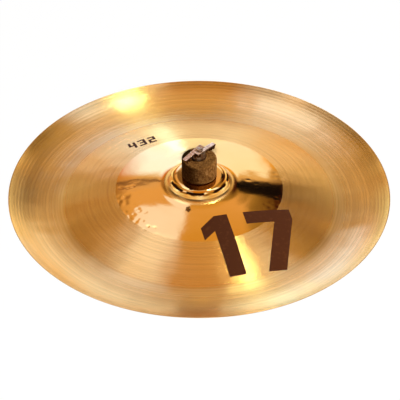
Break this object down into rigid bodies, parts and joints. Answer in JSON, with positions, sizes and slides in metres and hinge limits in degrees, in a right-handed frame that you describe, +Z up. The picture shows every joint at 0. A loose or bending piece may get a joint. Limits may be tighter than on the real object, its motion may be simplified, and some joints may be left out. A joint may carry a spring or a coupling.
{
  "type": "china cymbal",
  "caption": "China cymbal with a steep bell, low bow and upturned edge, held between two felts on a threaded rod by a wing nut; it rocks and spins.",
  "frame": {"origin": "centre of the flat foot of the threaded rod", "axes": "+Z up along the rod towards the wing nut, +X to the right and +Y away from the viewer of the picture"},
  "size_m": [0.432, 0.432, 0.0963],
  "materials": {
    "bronze": "lathed bow and edge with fine rings, polished and hammered round the bell",
    "brown_felt": "pressed wool felt, mottled dark brown",
    "nut_chrome": "plated zinc casting, polished",
    "plated_steel": "zinc plated",
    "rod_steel": "plated, rolled thread",
    "black_nylon": "moulded nylon"
  },
  "bodies": {
    "rod": {"threaded_rod": "rod_steel", "hex_nut": "plated_steel", "cup_washer": "plated_steel"},
    "sleeve": {"sleeve": "black_nylon"},
    "felts": {"lower_felt": "brown_felt", "upper_felt": "brown_felt"},
    "cymbal": {"cymbal": "bronze"},
    "nut_washer": {"nut_washer": "plated_steel"},
    "wing_nut": {"wing_nut": "nut_chrome"}
  },
  "joints": [
    {"name": "sleeve_turn", "type": "hinge", "parent": "rod", "child": "sleeve", "pos_m": [0, 0, 0.0447], "axis": [0, 0, 1], "continuous": true},
    {"name": "cymbal_rock", "type": "hinge", "parent": "sleeve", "child": "felts", "pos_m": [0, 0, 0.05945], "axis": [1, 0, 0], "range_deg": [-10, 10], "deforming": ["lower_felt", "upper_felt"]},
    {"name": "cymbal_spin", "type": "hinge", "parent": "felts", "child": "cymbal", "pos_m": [0, 0, 0.05945], "axis": [0, 0, 1], "continuous": true},
    {"name": "nut_climb", "type": "slide", "parent": "rod", "child": "nut_washer", "axis": [0, 0, 1], "range_m": [0, 0.01]},
    {"name": "wing_nut_turn", "type": "hinge", "parent": "nut_washer", "child": "wing_nut", "pos_m": [0, 0, 0.0861], "axis": [0, 0, 1], "range_deg": [0, 2880]}
  ],
  "couplings": [
    {"joint": "nut_climb", "follows": "wing_nut_turn", "m_per_rad": 0.00019894}
  ]
}
